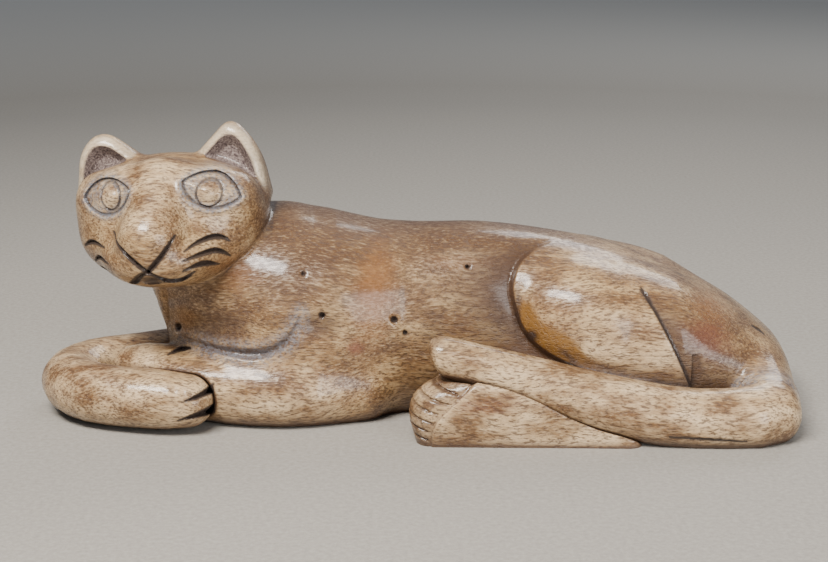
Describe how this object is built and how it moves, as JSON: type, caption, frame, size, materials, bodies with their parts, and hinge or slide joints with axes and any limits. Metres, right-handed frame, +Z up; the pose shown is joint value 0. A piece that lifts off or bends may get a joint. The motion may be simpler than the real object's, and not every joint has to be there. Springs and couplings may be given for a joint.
{
  "type": "carved feline figure",
  "caption": "Reclining feline figure carved in stained wood, built from pegged and glued carved pieces, with a flat underside to stand on.",
  "frame": {"origin": "on the flat underside of the body, below the waist, in the body's middle plane", "axes": "+X from head to rump, +Y to the animal's right (the far side), +Z up"},
  "size_m": [0.3299, 0.1441, 0.1278],
  "materials": {
    "body_wood": "stained and varnished",
    "ear_wood": "stained and varnished, rough dark hollow",
    "dowel_wood": "raw"
  },
  "bodies": {
    "root": {"torso": "body_wood", "head": "body_wood", "left_ear": "ear_wood", "right_ear": "ear_wood", "left_foreleg": "body_wood", "right_foreleg": "body_wood", "left_hind_foot": "body_wood", "right_hind_foot": "body_wood", "tail": "body_wood", "neck_dowel": "dowel_wood", "left_ear_peg": "dowel_wood", "right_ear_peg": "dowel_wood", "left_foreleg_dowel": "dowel_wood", "right_foreleg_dowel": "dowel_wood", "left_hind_foot_dowel": "dowel_wood", "right_hind_foot_dowel": "dowel_wood", "tail_dowel": "dowel_wood"}
  },
  "joints": []
}
